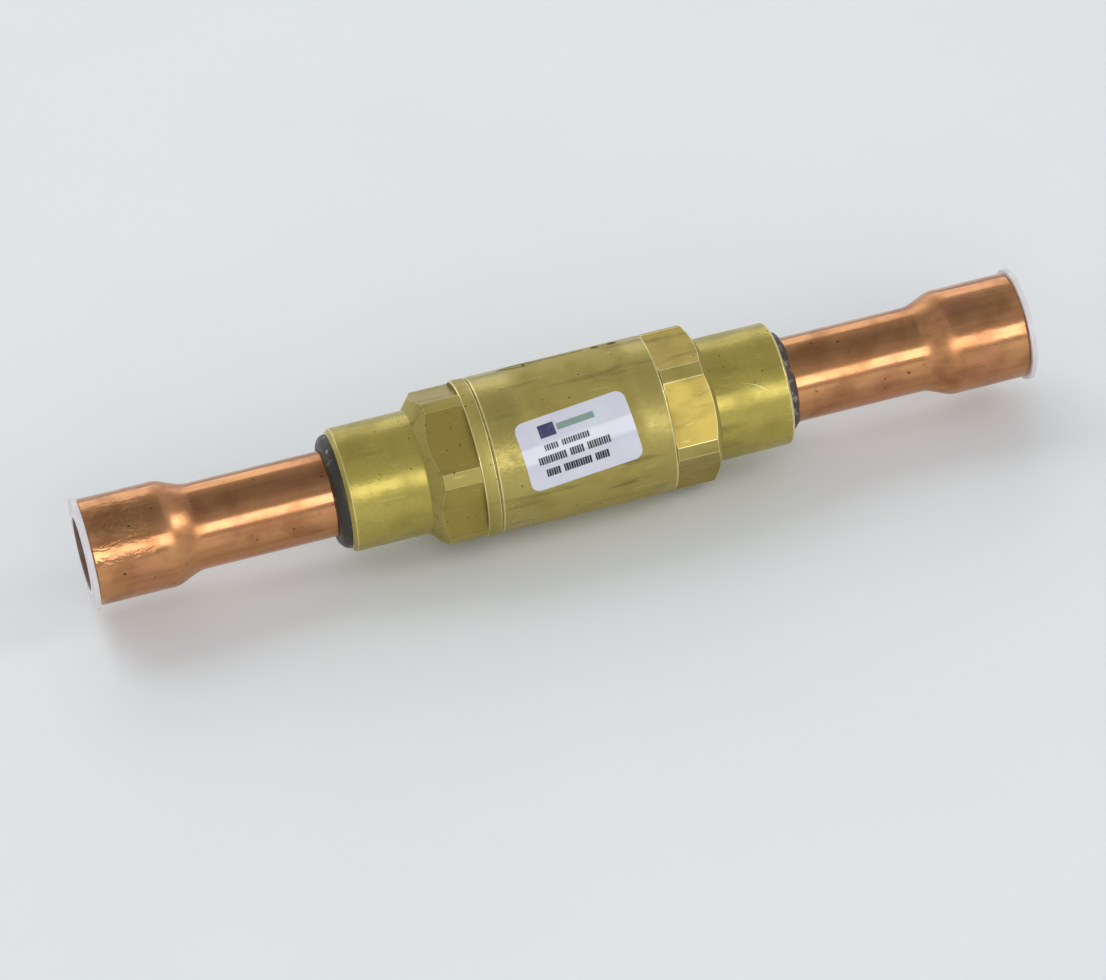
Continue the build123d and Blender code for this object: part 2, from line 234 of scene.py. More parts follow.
# ------------------------------------------------------------------------------ finishes
@dataclass(frozen=True)
class HandledBrass(Finish):
    """Free-cutting brass bar after machining and handling.

    It gives the eye a greenish-yellow satin metal with fine tool marks, dull olive stains,
    dark specks, painted shade in the joints and a few bright scratches. The share that isn't metallic
    stands for the film of oxide and oil on it. Places along the bar are in millimetres: a
    joint has its place and the strength of the painted shade laid on it, a polished stretch its middle,
    reach and gain in gloss.
    """

    name: str = "turned_brass_shank"
    base: str = "#B3A350"
    stain: str = "#80722F"
    dirt: str = "#2E2814"
    bright: str = "#E8DC9C"
    roughness: float = 0.27
    grain: float = 0.5
    stained: float = 0.4
    smudged: float = 0.25
    metal: float = 0.64
    tool: tuple[float, float, float] = (8.0, 0.05, 0.05)
    # joints: places along the bar darkened with the dirt colour as painted shade, each with its strength
    joints: tuple[tuple[float, float], ...] = ()
    joint_reach: float = 0.09
    polished: tuple[tuple[float, float, float], ...] = ()

    def build(self, tree: Tree) -> Node:
        """Add the brass nodes and return the shader."""
        at = millimetres(tree)
        drawn_out = millimetres(tree, (0.16, 1.0, 1.0))
        stains = blotches(tree, at, size=5.0, low=0.42, high=0.72)
        smudges = blotches(tree, drawn_out, size=1.6, low=0.55, high=0.75, detail=4.0)
        specks = blotches(tree, at, size=0.85, low=0.745, high=0.79, detail=1.0)
        scratches = blotches(tree, drawn_out, size=0.40, low=0.76, high=0.80, detail=0.0)
        colour = tint(tree, scaled(tree, stains, self.stained), linear(self.base), linear(self.stain))
        for mask, amount, over in ((smudges, self.smudged, self.dirt), (specks, 0.75, self.dirt),
                                   (scratches, 0.2, self.bright)):
            colour = tint(tree, scaled(tree, mask, amount), colour, linear(over))
        along = add(tree, "ShaderNodeSeparateXYZ", {0: at}).outputs["X"]
        # the dirt colour is laid over each joint as painted shade
        for place, amount in self.joints:
            joint_shade = add(tree, "ShaderNodeMath", {0: along, 1: place, 2: self.joint_reach}, operation="COMPARE")
            colour = tint(tree, scaled(tree, joint_shade.outputs[0], amount), colour, linear(self.dirt))
        rough = scaled(tree, stains, 0.10, self.roughness)
        changes = [scaled(tree, smudges, 0.08)]
        changes += [around(tree, along, middle, 0.3 * reach, reach, -gain)
                    for middle, reach, gain in self.polished]
        for change in changes:
            rough = add(tree, "ShaderNodeMath", {0: rough, 1: change}, operation="ADD").outputs[0]
        # tool marks lie about 0.12 mm apart along a turned bar and 1 mm apart across a milled flat
        marks = add(tree, "ShaderNodeTexNoise",
                    {"Vector": millimetres(tree, self.tool), "Scale": 1.0, "Detail": 2.0})
        normal = relief(tree, marks.outputs["Fac"], depth=0.030, strength=1.0)
        for per_mm, detail, depth, strength in ((2.2, 3.0, 0.045, self.grain), (0.8, 2.0, 0.04, 0.3)):
            waves = add(tree, "ShaderNodeTexNoise", {"Vector": at, "Scale": per_mm, "Detail": detail})
            normal = relief(tree, waves.outputs["Fac"], depth, strength, normal)
        return add(tree, "ShaderNodeBsdfPrincipled",
                   {"Base Color": colour, "Metallic": self.metal, "Roughness": rough, "Normal": normal})


SHANK = HandledBrass()
# the barrel gets painted shade at the collar wall and at the seam
BARREL = HandledBrass(
    "rough_turned_brass_barrel", "#B2A25B", "#867937", roughness=0.62, grain=1.0, stained=0.28, smudged=0.38,
    metal=0.70, joints=((-13.0, 0.35), (-10.9, 0.75)), polished=((-8.4, 4.5, 0.36), (12.4, 2.8, 0.26)))
FLAT = HandledBrass("milled_brass_flat", "#A9954A", "#807136", roughness=0.36, stained=0.3, metal=0.80,
                    tool=(0.05, 1.0, 1.0))
# rounded edges and chamfers take this brighter brass, which is partly burnished wear and partly a painted
# highlight; the scratch uses it as fresh metal
EDGE = HandledBrass("burnished_brass_edge", "#EBDFA2", "#B2A05A", roughness=0.28, stained=0.5, metal=0.85)


@dataclass(frozen=True)
class CleanBrass(Finish):
    """Freshly turned brass of the inner parts, bright and even."""

    name: str = "clean_turned_brass"
    base: str = "#E6C878"
    roughness: float = 0.22

    def build(self, tree: Tree) -> Node:
        """Add the clean brass nodes and return the shader."""
        rings = millimetres(tree, (1.0, 0.05, 0.05))
        turning = add(tree, "ShaderNodeTexNoise", {"Vector": rings, "Scale": 2.5, "Detail": 4.0}).outputs["Fac"]
        colour = tint(tree, scaled(tree, turning, 0.3), linear(self.base), linear("#C9A95A"))
        return add(tree, "ShaderNodeBsdfPrincipled",
                   {"Base Color": colour, "Metallic": 1.0, "Roughness": self.roughness,
                    "Normal": relief(tree, turning, depth=0.01, strength=0.5)})


@dataclass(frozen=True)
class DrawnCopper(Finish):
    """Drawn copper tube, swelled at one end and heated while brazing.

    It gives the eye an orange-brown satin metal with soft streaks along the tube, cloudy
    oxide, small dark pits, and shallow dents from handling. Places are distances along the
    tube from the middle of the valve, in millimetres.
    """

    name: str = "drawn_copper"
    base: str = "#CE9566"
    oxide: str = "#7A4628"
    pink: str = "#C78468"
    dirt: str = "#3B2015"
    roughness: float = 0.15
    dent: float = 0.12
    dented_from: float = 57.0
    swaged: tuple[float, float] = (51.8, 56.4)

    def build(self, tree: Tree) -> Node:
        """Add the copper nodes and return the shader."""
        at = millimetres(tree)
        clouds = blotches(tree, at, size=4.5, low=0.40, high=0.70)
        streaks = blotches(tree, millimetres(tree, (0.07, 1.0, 1.0)), size=0.9, low=0.40, high=0.75, detail=4.0)
        bloom = blotches(tree, at, size=7.0, low=0.50, high=0.75, detail=2.0)
        pits = blotches(tree, at, size=0.8, low=0.735, high=0.785, detail=1.0)
        colour = tint(tree, scaled(tree, clouds, 0.45), linear(self.base), linear(self.oxide))
        for mask, amount, over in ((bloom, 0.5, self.pink), (streaks, 0.22, self.oxide), (pits, 0.7, self.dirt)):
            colour = tint(tree, scaled(tree, mask, amount), colour, linear(over))
        along = add(tree, "ShaderNodeMath", {0: add(tree, "ShaderNodeSeparateXYZ", {0: at}).outputs["X"]},
                    operation="ABSOLUTE").outputs[0]
        # the swaged cone was dragged over a punch, so it is duller than the tube
        middle, reach = sum(self.swaged) / 2, (self.swaged[1] - self.swaged[0]) / 2
        cone = around(tree, along, middle, 0.5 * reach, 1.3 * reach, 0.16)
        rough = add(tree, "ShaderNodeMath", {0: scaled(tree, clouds, 0.10, self.roughness), 1: cone},
                    operation="ADD").outputs[0]
        # knocks gather on the open sockets, and the plain tube keeps only a long slow wave
        open_end = add(tree, "ShaderNodeMapRange", {"Value": along, "From Min": self.dented_from,
                                                    "From Max": self.dented_from + 1.5},
                       interpolation_type="SMOOTHSTEP").outputs[0]
        knocks = add(tree, "ShaderNodeTexNoise", {"Vector": millimetres(tree, (0.5, 1.0, 1.0)), "Scale": 0.9,
                                                  "Detail": 3.0, "Distortion": 1.2}).outputs["Fac"]
        knocks = add(tree, "ShaderNodeMath", {0: knocks, 1: open_end}, operation="MULTIPLY").outputs[0]
        wave = add(tree, "ShaderNodeTexNoise", {"Vector": at, "Scale": 1 / 6.0, "Detail": 1.0}).outputs["Fac"]
        normal = relief(tree, streaks, depth=0.006, strength=0.5)
        normal = relief(tree, wave, depth=0.10, strength=0.5, under=normal)
        normal = relief(tree, knocks, depth=0.14, strength=self.dent, under=normal)
        return add(tree, "ShaderNodeBsdfPrincipled",
                   {"Base Color": colour, "Metallic": 1.0, "Roughness": rough, "Normal": normal})


@dataclass(frozen=True)
class BrazeAlloy(Finish):
    """Silver brazing alloy under burnt flux: nearly black crust with grey metal glints."""

    name: str = "brazing_alloy_lumpy"
    crust: str = "#463D35"
    metal: str = "#989087"
    shine: float = 0.9

    def build(self, tree: Tree) -> Node:
        """Add the braze nodes and return the shader."""
        at = millimetres(tree)
        glints = blotches(tree, at, size=1.2, low=0.68 - 0.2 * self.shine, high=0.86 - 0.2 * self.shine,
                          detail=2.0)
        lumps = add(tree, "ShaderNodeTexNoise", {"Vector": at, "Scale": 1.6, "Detail": 4.0}).outputs["Fac"]
        colour = tint(tree, glints, linear(self.crust), linear(self.metal))
        rough = scaled(tree, glints, -0.18, 0.44)
        metallic = scaled(tree, glints, 0.7, 0.25)
        return add(tree, "ShaderNodeBsdfPrincipled",
                   {"Base Color": colour, "Metallic": metallic, "Roughness": rough,
                    "Normal": relief(tree, lumps, depth=0.15, strength=self.shine)})


@dataclass(frozen=True)
class Polyethylene(Finish):
    """Moulded low-density polyethylene: milky and waxy, and see-through as far as it is clear."""

    name: str = "moulded_polyethylene"
    base: str = "#FCFBFC"
    clear: float = 0.15

    def build(self, tree: Tree) -> Node:
        """Add the plastic nodes and return the shader."""
        flow = blotches(tree, millimetres(tree), size=3.0, low=0.35, high=0.75)
        colour = tint(tree, scaled(tree, flow, 0.12), linear(self.base), (0.0, 0.0, 0.0, 1.0))
        return add(tree, "ShaderNodeBsdfPrincipled",
                   {"Base Color": colour, "Roughness": scaled(tree, flow, 0.08, 0.30), "IOR": 1.51,
                    "Subsurface Weight": min(0.5, 2 * self.clear), "Subsurface Radius": (1.0, 0.9, 0.85),
                    "Subsurface Scale": 0.5 * MM, "Transmission Weight": self.clear})


@dataclass(frozen=True)
class LabelFilm(Finish):
    """Glossy white vinyl film with a faint lavender cast, so lamps show in it as sharp lines."""

    name: str = "glossy_label_film"
    base: str = "#CFCFDC"
    roughness: float = 0.10

    def build(self, tree: Tree) -> Node:
        """Add the film nodes and return the shader."""
        clouds = blotches(tree, millimetres(tree), size=3.5, low=0.35, high=0.70, detail=2.0)
        colour = tint(tree, scaled(tree, clouds, 0.6), linear(self.base), linear("#D6D9DC"))
        waves = add(tree, "ShaderNodeTexNoise", {"Vector": millimetres(tree), "Scale": 0.5, "Detail": 1.0})
        return add(tree, "ShaderNodeBsdfPrincipled",
                   {"Base Color": colour, "Roughness": self.roughness, "IOR": 1.5, "Coat Weight": 0.5,
                    "Coat Roughness": 0.08,
                    "Normal": relief(tree, waves.outputs["Fac"], depth=0.02, strength=0.15)})


@dataclass(frozen=True)
class PrintInk(Finish):
    """Thermal-transfer ink on the label, matt and slightly uneven."""

    name: str = "label_ink"
    base: str = "#15161C"

    def build(self, tree: Tree) -> Node:
        """Add the ink nodes and return the shader."""
        worn = blotches(tree, millimetres(tree), size=0.4, low=0.45, high=0.80, detail=2.0)
        colour = tint(tree, scaled(tree, worn, 0.25), linear(self.base), linear("#7F8390"))
        return add(tree, "ShaderNodeBsdfPrincipled", {"Base Color": colour, "Roughness": 0.35})


@dataclass(frozen=True)
class EtchedBrass(Finish):
    """Painted shade of the marking engraved into the barrel: dull dark brown against the bright metal."""

    name: str = "etched_brass"
    base: str = "#3A3218"

    def build(self, tree: Tree) -> Node:
        """Add the etched brass nodes and return the shader."""
        patchy = blotches(tree, millimetres(tree), size=0.5, low=0.35, high=0.75, detail=2.0)
        colour = tint(tree, patchy, linear(self.base), linear("#6B5C2C"))
        return add(tree, "ShaderNodeBsdfPrincipled",
                   {"Base Color": colour, "Metallic": 0.6, "Roughness": 0.6})


@dataclass(frozen=True)
class DrawnSteel(Finish):
    """Drawn stainless wire and strip: cool grey with fine lines along its length."""

    name: str = "drawn_stainless_steel"
    base: str = "#B9BBBD"
    roughness: float = 0.25

    def build(self, tree: Tree) -> Node:
        """Add the steel nodes and return the shader."""
        lines = blotches(tree, millimetres(tree, (0.2, 1.0, 1.0)), size=0.3, low=0.35, high=0.75)
        colour = tint(tree, scaled(tree, lines, 0.4), linear(self.base), linear("#8B8D90"))
        return add(tree, "ShaderNodeBsdfPrincipled",
                   {"Base Color": colour, "Metallic": 1.0, "Roughness": self.roughness,
                    "Normal": relief(tree, lines, depth=0.01, strength=0.4)})


@dataclass(frozen=True)
class SealRubber(Finish):
    """Moulded black rubber of the sealing ring, matt with a light bloom."""

    name: str = "moulded_black_rubber"
    base: str = "#17171A"

    def build(self, tree: Tree) -> Node:
        """Add the rubber nodes and return the shader."""
        bloom = blotches(tree, millimetres(tree), size=1.5, low=0.45, high=0.80)
        colour = tint(tree, scaled(tree, bloom, 0.5), linear(self.base), linear("#34343A"))
        return add(tree, "ShaderNodeBsdfPrincipled",
                   {"Base Color": colour, "Roughness": scaled(tree, bloom, 0.15, 0.45), "IOR": 1.52})


@dataclass(frozen=True)
class SkivedFluoropolymer(Finish):
    """Skived fluoropolymer sheet of the sealing disc: waxy white with faint cutting lines."""

    name: str = "skived_fluoropolymer"
    base: str = "#EDEDE8"

    def build(self, tree: Tree) -> Node:
        """Add the fluoropolymer nodes and return the shader."""
        lines = blotches(tree, millimetres(tree, (1.0, 0.2, 1.0)), size=0.5, low=0.35, high=0.75)
        colour = tint(tree, scaled(tree, lines, 0.4), linear(self.base), linear("#D2D2CC"))
        return add(tree, "ShaderNodeBsdfPrincipled",
                   {"Base Color": colour, "Roughness": 0.38, "IOR": 1.35,
                    "Normal": relief(tree, lines, depth=0.01, strength=0.4)})


@dataclass(frozen=True)
class TableTop(Finish):
    """Pale painted board, matt, with the faintest sheen."""

    name: str = "pale_table_top"
    base: str = "#E6E9EA"

    def build(self, tree: Tree) -> Node:
        """Add the table nodes and return the shader."""
        patches = blotches(tree, millimetres(tree), size=60.0, low=0.30, high=0.75)
        colour = tint(tree, scaled(tree, patches, 0.25), linear(self.base), linear("#DFE2E4"))
        return add(tree, "ShaderNodeBsdfPrincipled", {"Base Color": colour, "Roughness": 0.5})


# ------------------------------------------------------------------------------ mesh making
def outward(angle: float) -> Vector:
    """Unit vector square to the flow axis, at an angle in degrees from the front towards the top."""
    turn = math.radians(angle)
    return Vector((0.0, -math.cos(turn), math.sin(turn)))


def spin_profile(bm: BMesh, outline: Outline, steps: int = 160, closed: bool = True) -> None:
    """Spin an outline of (x, radius) points about the flow axis into a closed surface.

    Args:
        bm: Mesh that takes the surface.
        outline: Points in millimetres.
        steps: Facets round the axis.
        closed: Whether the last point joins the first.
    """
    verts = [bm.verts.new((x * MM, 0.0, r * MM)) for x, r in outline]
    pairs = list(zip(verts, verts[1:]))
    if closed:
        pairs.append((verts[-1], verts[0]))
    edges = [bm.edges.new(pair) for pair in pairs]
    bmesh.ops.spin(bm, geom=verts + edges, cent=(0, 0, 0), axis=(1, 0, 0), angle=2 * math.pi,
                   steps=steps, use_merge=True, use_duplicate=False)


def tidy(bm: BMesh) -> None:
    """Merge doubles, drop faces with no area and point every face outwards."""
    bmesh.ops.remove_doubles(bm, verts=bm.verts[:], dist=1e-7)
    bmesh.ops.dissolve_degenerate(bm, edges=bm.edges[:], dist=1e-8)
    bmesh.ops.recalc_face_normals(bm, faces=bm.faces[:])


def soften(bm: BMesh, width: float, angle: float = 20.0, material: int = -1) -> None:
    """Round every edge that is sharper than an angle.

    Args:
        bm: Mesh to round.
        width: Bevel width in millimetres.
        angle: Edges that turn by more degrees than this are rounded.
        material: Material number of the rounded edges, or -1 for that of their neighbours.
    """
    limit = math.radians(angle)
    sharp = [e for e in bm.edges if len(e.link_faces) == 2 and e.calc_face_angle(0.0) > limit]
    bmesh.ops.bevel(bm, geom=sharp, offset=width * MM, offset_type="OFFSET", affect="EDGES",
                    segments=2, profile=0.5, material=material, clamp_overlap=True)


def finished(bm: BMesh, name: str, *finishes: Finish, weighted: bool = True) -> Piece:
    """Turn a bmesh into a smooth-shaded object with its finishes.

    Args:
        bm: The mesh, which is freed.
        name: Name of the piece.
        finishes: Its finishes, in the order of the faces' material numbers.
        weighted: Whether large faces keep their own normals beside rounded edges.

    Returns:
        The new object, linked to the scene.
    """
    mesh = bpy.data.meshes.new(name)
    bm.to_mesh(mesh)
    bm.free()
    for finish in finishes:
        mesh.materials.append(finish.material())
    mesh.polygons.foreach_set("use_smooth", [True] * len(mesh.polygons))
    mesh.set_sharp_from_angle(angle=math.radians(50))
    made = bpy.data.objects.new(name, mesh)
    bpy.context.scene.collection.objects.link(made)
    if weighted:
        made.modifiers.new("even_faces", "WEIGHTED_NORMAL").keep_sharp = True
    return made


def wrapped(bm: BMesh, radius: float, angle: float) -> None:
    """Wrap a flat mesh round the flow axis.

    Args:
        bm: Flat mesh, with x along the axis, y round it (towards the top) and z outwards.
        radius: Radius that z = 0 goes to, in millimetres.
        angle: Where y = 0 goes, in degrees from the front towards the top.
    """
    for vert in bm.verts:
        away = outward(angle + math.degrees(vert.co.y / (radius * MM)))
        vert.co = Vector((vert.co.x, 0.0, 0.0)) + away * (radius * MM + vert.co.z)


def laid_on(bm: BMesh, thickness: float, radius: float, angle: float) -> None:
    """Thicken a flat pattern into thin strips and wrap them round the flow axis.

    Args:
        bm: Flat mesh, as for wrapped.
        thickness: Thickness of the strips in millimetres.
        radius: Radius of their underside in millimetres.
        angle: Where y = 0 goes, in degrees from the front towards the top.
    """
    bmesh.ops.solidify(bm, geom=bm.faces[:], thickness=thickness * MM)
    wrapped(bm, radius, angle)
    bmesh.ops.recalc_face_normals(bm, faces=bm.faces[:])


# ------------------------------------------------------------------------------ brass halves
class Skin(IntEnum):
    """Finishes of a brass half, in the order of its material slots."""

    SHANK = 0
    BARREL = 1
    FLAT = 2
    EDGE = 3


@dataclass
class WrenchCollar:
    """Round collar with six milled flats and one crowned end, in millimetres."""

    start: float
    crown_end: float
    crown_run: float
    flat_angle: float
    radius: float = 11.0
    apothem: float = 10.0
    shank_radius: float = 8.65
    sunk: float = 0.4
    shoulder: float = 0.14
    edge: float = 0.20

    def skin(self, face: bmesh.types.BMFace) -> Skin:
        """Tell a flat, which is large and faces straight outwards inside the round, from the rest."""
        inside = face.calc_center_median().yz.length / MM < self.radius - 0.02
        large = face.calc_area() > 20 * MM * MM
        return Skin.FLAT if inside and large and abs(face.normal.x) < 0.01 else Skin.BARREL

    def build(self) -> BMesh:
        """Turn the collar, crown one end, mill the flats and round the edges.

        Returns:
            The collar as a closed mesh.
        """
        bm = bmesh.new()
        inner = self.shank_radius - self.sunk
        toward = 1.0 if self.crown_end > self.start else -1.0
        crown_start = self.crown_end - toward * self.crown_run
        spin_profile(bm, [(self.start, inner), (self.start, self.radius), (crown_start, self.radius),
                          (self.crown_end, self.shank_radius + self.shoulder), (self.crown_end, inner)],
                     steps=144)
        tidy(bm)
        for step in range(6):
            away = outward(self.flat_angle + 60 * step)
            cut = bmesh.ops.bisect_plane(bm, geom=bm.verts[:] + bm.edges[:] + bm.faces[:], dist=1e-8,
                                         plane_co=away * self.apothem * MM, plane_no=away, clear_outer=True)
            rim = [g for g in cut["geom_cut"] if isinstance(g, bmesh.types.BMEdge)]
            bmesh.ops.contextual_create(bm, geom=rim)
        tidy(bm)
        for face in bm.faces:
            face.material_index = self.skin(face)
        soften(bm, self.edge, material=Skin.EDGE)
        return bm


@dataclass
class BrassHalf:
    """One turned brass half: a spun skin with its bores, joined to its wrench collar.

    Lengths are in millimetres. Chamfers further out than outside_radius and beyond worn_x are
    worn bright and carry a painted highlight. Cylinders beyond round_radius and end walls beyond
    wall_radius look like the barrel, and the rest like the shank.
    """

    name: str
    profile: Outline
    collar: WrenchCollar
    edge: float = 0.10
    worn_x: float = 12.0
    outside_radius: float = 8.2
    wall_radius: float = 8.8
    round_radius: float = 10.3

    def skin(self, face: bmesh.types.BMFace) -> Skin:
        """Tell which finish a turned face takes, from its place and its slope along the bar.

        Args:
            face: A face of the spun skin.

        Returns:
            Its finish.
        """
        middle, slope = face.calc_center_median(), abs(face.normal.x)
        level = middle.yz.length / MM
        if 0.3 < slope < 0.9 and middle.x > self.worn_x * MM and level > self.outside_radius:
            return Skin.EDGE
        return Skin.BARREL if level > (self.wall_radius if slope > 0.9 else self.round_radius) else Skin.SHANK

    def build(self) -> Piece:
        """Build the half and put it in place of its CAD node.

        Returns:
            The half.
        """
        bm = bmesh.new()
        spin_profile(bm, self.profile, steps=180)
        tidy(bm)
        for face in bm.faces:
            face.material_index = self.skin(face)
        soften(bm, self.edge, material=Skin.EDGE)
        collar = self.collar.build()
        extra = bpy.data.meshes.new("collar")
        collar.to_mesh(extra)
        collar.free()
        bm.from_mesh(extra)
        bpy.data.meshes.remove(extra)
        made = finished(bm, f"{self.name}_turned", SHANK, BARREL, FLAT, EDGE)
        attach(made, "housing")
        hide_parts(self.name)
        return made


@dataclass
class BrassBody:
    """The two screwed brass halves, the engraved marks on the barrel drawn as strips of painted shade, and one
    scratch.

    Lengths are in millimetres and angles in degrees.
    """

    marks: Finish = field(default_factory=EtchedBrass)
    barrel_radius: float = 11.0
    shank_radius: float = 8.65
    pocket_radius: float = 6.05
    inlet_bore: float = 4.8
    outlet_bore: float = 5.0
    seat_radius: float = 5.6
    chamber_radius: float = 8.4
    thread_bore: float = 9.55
    thread_radius: float = 9.5
    gland_radius: float = 10.09
    gland_root: float = 8.55
    guide_pocket: float = 7.6
    guide_stop: float = 6.95
    inlet_end_x: float = 31.7
    inlet_pocket_x: float = 23.7
    inlet_collar_end_x: float = 21.2
    barrel_end_x: float = 14.2
    seat_foot_x: float = 10.8
    seat_x: float = 10.0
    chamber_end_x: float = -3.0
    spigot_end_x: float = -3.4
    guide_stop_x: float = -6.2
    gland_x: float = -9.36
    funnel_x: float = -9.7
    seam_x: float = -10.9
    outlet_flat_x: float = -13.0
    outlet_collar_end_x: float = -20.1
    outlet_pocket_x: float = -23.3
    outlet_end_x: float = -31.3
    seam_break: float = 0.2
    ring_break: float = 0.1
    barrel_break: float = 0.25
    inlet_break: float = 0.3
    outlet_break: float = 0.55
    overlap: float = 0.02
    stroke: float = 0.3
    strip: float = 0.006
    mark_angle: float = 113.0
    dots: tuple[float, ...] = (7.6, 10.0)
    dot_radius: float = 0.65

    def inlet_half(self) -> Piece:
        """Build the barrel with the seat, the piston chamber and the inlet shank.

        Returns:
            The inlet half.
        """
        barrel, shank, pocket = self.barrel_radius, self.shank_radius, self.pocket_radius
        profile = [
            (self.seam_x, self.gland_radius), (self.seam_x, barrel - self.seam_break),
            (self.seam_x + self.seam_break, barrel), (self.barrel_end_x - self.barrel_break, barrel),
            (self.barrel_end_x, barrel - self.barrel_break), (self.barrel_end_x, shank),
            (self.inlet_end_x - self.inlet_break, shank), (self.inlet_end_x, shank - self.inlet_break),
            (self.inlet_end_x, pocket), (self.inlet_pocket_x, pocket), (self.inlet_pocket_x, self.inlet_bore),
            (self.seat_x, self.inlet_bore), (self.seat_x, self.seat_radius), (self.seat_foot_x, self.seat_radius),
            (self.seat_foot_x, self.chamber_radius), (self.chamber_end_x, self.chamber_radius),
            (self.chamber_end_x, self.thread_bore), (self.gland_x, self.thread_bore),
            (self.gland_x, self.gland_radius),
        ]
        collar = WrenchCollar(self.barrel_end_x - self.overlap, self.inlet_collar_end_x,
                              crown_run=1.22, flat_angle=30.0)
        return BrassHalf("valve_body", profile, collar).build()

    def outlet_half(self) -> Piece:
        """Build the connector: ring, outlet shank and the spigot that screws into the barrel.

        Returns:
            The outlet half.
        """
        barrel, shank, pocket = self.barrel_radius, self.shank_radius, self.pocket_radius
        profile = [
            (self.outlet_end_x, pocket), (self.outlet_end_x, shank - self.outlet_break),
            (self.outlet_end_x + self.outlet_break, shank), (self.outlet_flat_x, shank),
            (self.outlet_flat_x, barrel - self.ring_break), (self.outlet_flat_x + self.ring_break, barrel),
            (self.seam_x - self.seam_break, barrel), (self.seam_x, barrel - self.seam_break),
            (self.seam_x, self.gland_root), (self.gland_x, self.gland_root), (self.gland_x, self.thread_radius),
            (self.spigot_end_x, self.thread_radius), (self.spigot_end_x, self.guide_pocket),
            (self.guide_stop_x, self.guide_pocket), (self.guide_stop_x, self.guide_stop),
            (self.funnel_x, self.outlet_bore), (self.outlet_pocket_x, self.outlet_bore),
            (self.outlet_pocket_x, pocket),
        ]
        collar = WrenchCollar(self.outlet_flat_x + self.overlap, self.outlet_collar_end_x,
                              crown_run=1.84, flat_angle=52.8)
        return BrassHalf("outlet_connector", profile, collar).build()

    def flow_marks(self) -> Piece:
        """Lay the flow arrow and two plain dots on the barrel as thin strips of painted shade that stand for
        engraved grooves.

        Returns:
            All marks as one piece.
        """
        bm = bmesh.new()
        half = self.stroke / 2
        tip, base, tail, wide = -6.3, -2.7, 5.6, 1.0
        strokes = [((base, 0.0), (tail, 0.0)), ((tip, 0.0), (base, wide)), ((tip, 0.0), (base, -wide)),
                   ((base, wide), (base, -wide))]
        for (x0, y0), (x1, y1) in strokes:
            run = Vector((x1 - x0, y1 - y0, 0.0))
            turn = Matrix.Rotation(math.atan2(run.y, run.x), 4, "Z")
            size = Matrix.Diagonal(((run.length + 2 * half) / 2 * MM, half * MM, 1.0, 1.0))
            middle = Matrix.Translation(Vector(((x0 + x1) / 2, (y0 + y1) / 2, 0.0)) * MM)
            bmesh.ops.create_grid(bm, x_segments=12, y_segments=1, size=1.0, matrix=middle @ turn @ size)
        for x in self.dots:
            bmesh.ops.create_circle(bm, cap_ends=True, cap_tris=True, segments=20, radius=self.dot_radius * MM,
                                    matrix=Matrix.Translation((x * MM, 0.0, 0.0)))
        # a dot's facets sag between its middle and its rim, so it stands clear of the barrel by more than that
        laid_on(bm, self.strip, self.barrel_radius + 0.008, self.mark_angle)
        # the strips are painted dark for the shade in the engraved grooves
        made = finished(bm, "flow_arrow_marks", self.marks, weighted=False)
        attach(made, "housing")
        return made

    def bright_scratch(self) -> Piece:
        """Lay one curved handling scratch on the inlet shank, as a hair-thin strip of fresh metal.

        Returns:
            The scratch.
        """
        bm = bmesh.new()
        length, width, sag = 3.9, 0.09, 0.35
        lean, middle_x, angle = -28.0, 26.8, 36.5
        bmesh.ops.create_grid(bm, x_segments=24, y_segments=1, size=0.5,
                              matrix=Matrix.Diagonal((length * MM, width * MM, 1, 1)))
        for vert in bm.verts:
            t = 2 * vert.co.x / (length * MM)
            vert.co.y = vert.co.y * (1.0 - 0.9 * t * t) + sag * (1 - t * t) * MM
        bmesh.ops.rotate(bm, verts=bm.verts[:], cent=(0, 0, 0),
                         matrix=Matrix.Rotation(math.radians(lean), 3, "Z"))
        bmesh.ops.translate(bm, verts=bm.verts[:], vec=(middle_x * MM, 0, 0))
        laid_on(bm, self.strip, self.shank_radius + 0.004, angle)
        made = finished(bm, "inlet_shank_scratch", EDGE, weighted=False)
        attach(made, "housing")
        return made

    def build(self) -> list[Piece]:
        """Build both halves, the marks and the scratch."""
        return [self.inlet_half(), self.outlet_half(), self.flow_marks(), self.bright_scratch()]


# ------------------------------------------------------------------------------ copper tubes
class Side(Enum):
    """Which end of the valve a mirrored piece belongs to."""

    INLET = 1
    OUTLET = -1

    @property
    def word(self) -> str:
        """The side's name, as used in piece names."""
        return self.name.lower()


